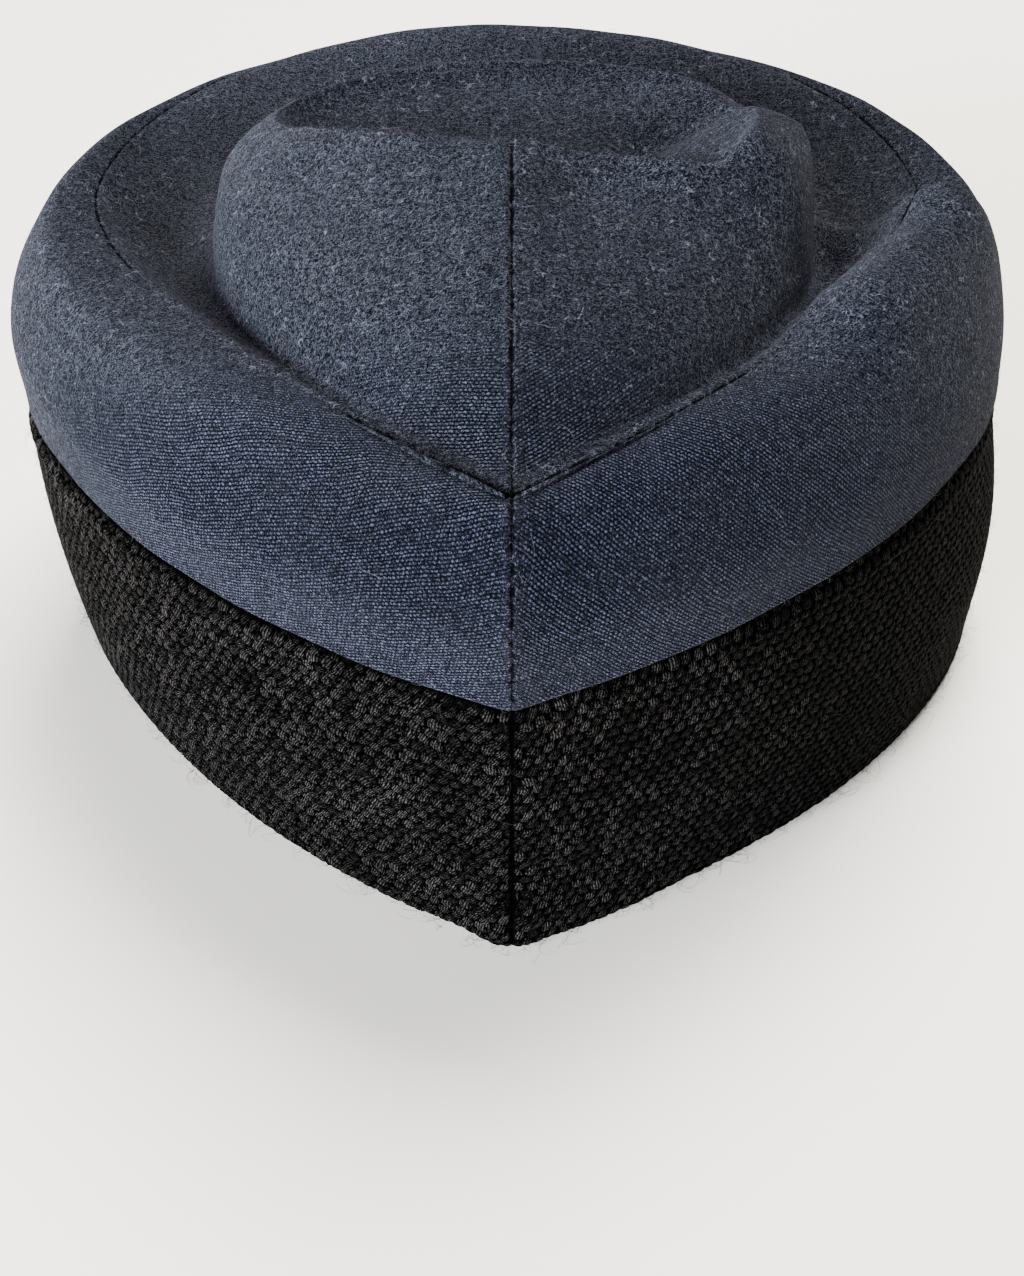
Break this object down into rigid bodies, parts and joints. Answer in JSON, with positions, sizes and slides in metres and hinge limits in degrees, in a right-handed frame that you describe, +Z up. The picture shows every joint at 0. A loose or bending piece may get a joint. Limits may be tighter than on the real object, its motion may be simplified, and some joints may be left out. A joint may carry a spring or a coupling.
{
  "type": "peaked cap",
  "caption": "Soft wool cap: a dented crown of sewn panels with a raised dome, a deep knitted band and a short cloth peak under its front hem.",
  "frame": {"origin": "middle of the cap's footprint, on the surface that its hem rests on", "axes": "+Z up through the crown; the peak points along -Y and the back seam faces +Y; +X is the wearer's left"},
  "size_m": [0.201, 0.2326, 0.1174],
  "materials": {
    "wool_cloth": "matt, heathered blue-grey wool twill",
    "black_knit": "matt black wool, close moss-stitch knit"
  },
  "bodies": {
    "root": {"crown_top_left": "wool_cloth", "crown_top_right": "wool_cloth", "crown_side_left": "wool_cloth", "crown_side_right": "wool_cloth", "knit_band": "black_knit", "peak": "wool_cloth"}
  },
  "joints": []
}
